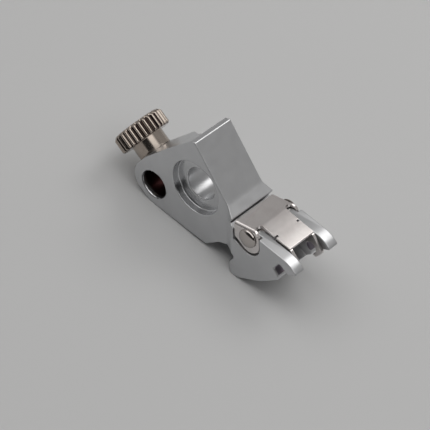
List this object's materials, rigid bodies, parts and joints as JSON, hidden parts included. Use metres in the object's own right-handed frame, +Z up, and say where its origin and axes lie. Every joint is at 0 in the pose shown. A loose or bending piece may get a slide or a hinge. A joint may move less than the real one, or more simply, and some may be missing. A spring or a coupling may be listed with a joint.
{
  "type": "presser foot holder",
  "caption": "Low-shank holder for clip-on sewing machine feet, with a sprung latch in a clevis and a thumb screw that clamps a guide bar.",
  "frame": {"origin": "centre of the bottom of the bounding box, on the surface that the holder lies on", "axes": "+X across the holder, from the side with the screw head's counterbore to the side with the presser bar's channel; +Y along it, from the clevis to the thumb screw; +Z up"},
  "size_m": [0.0108, 0.0394, 0.0183],
  "materials": {
    "satin_chrome": "satin chrome plating on a casting",
    "nickel": "bright turned nickel",
    "latch_steel": "finely brushed sheet",
    "polished_steel": "polished",
    "spring_steel": "drawn wire"
  },
  "bodies": {
    "root": {"holder_body": "satin_chrome", "pivot_pin": "polished_steel", "latch_spring": "spring_steel"},
    "latch": {"latch": "latch_steel"},
    "thumb_screw": {"thumb_screw": "nickel"}
  },
  "joints": [
    {"name": "latch_pivot", "type": "hinge", "parent": "root", "child": "latch", "pos_m": [0, -0.00986, 0.0092], "axis": [-1, 0, 0], "range_deg": [0, 12], "stiffness_Nm_per_rad": 0.02, "springref_deg": -17.19, "deforming": ["latch_spring"]},
    {"name": "screw_turn", "type": "hinge", "parent": "root", "child": "thumb_screw", "pos_m": [0, 0.01319, 0.0057], "axis": [0, 0.901, 0.4338], "continuous": true}
  ]
}
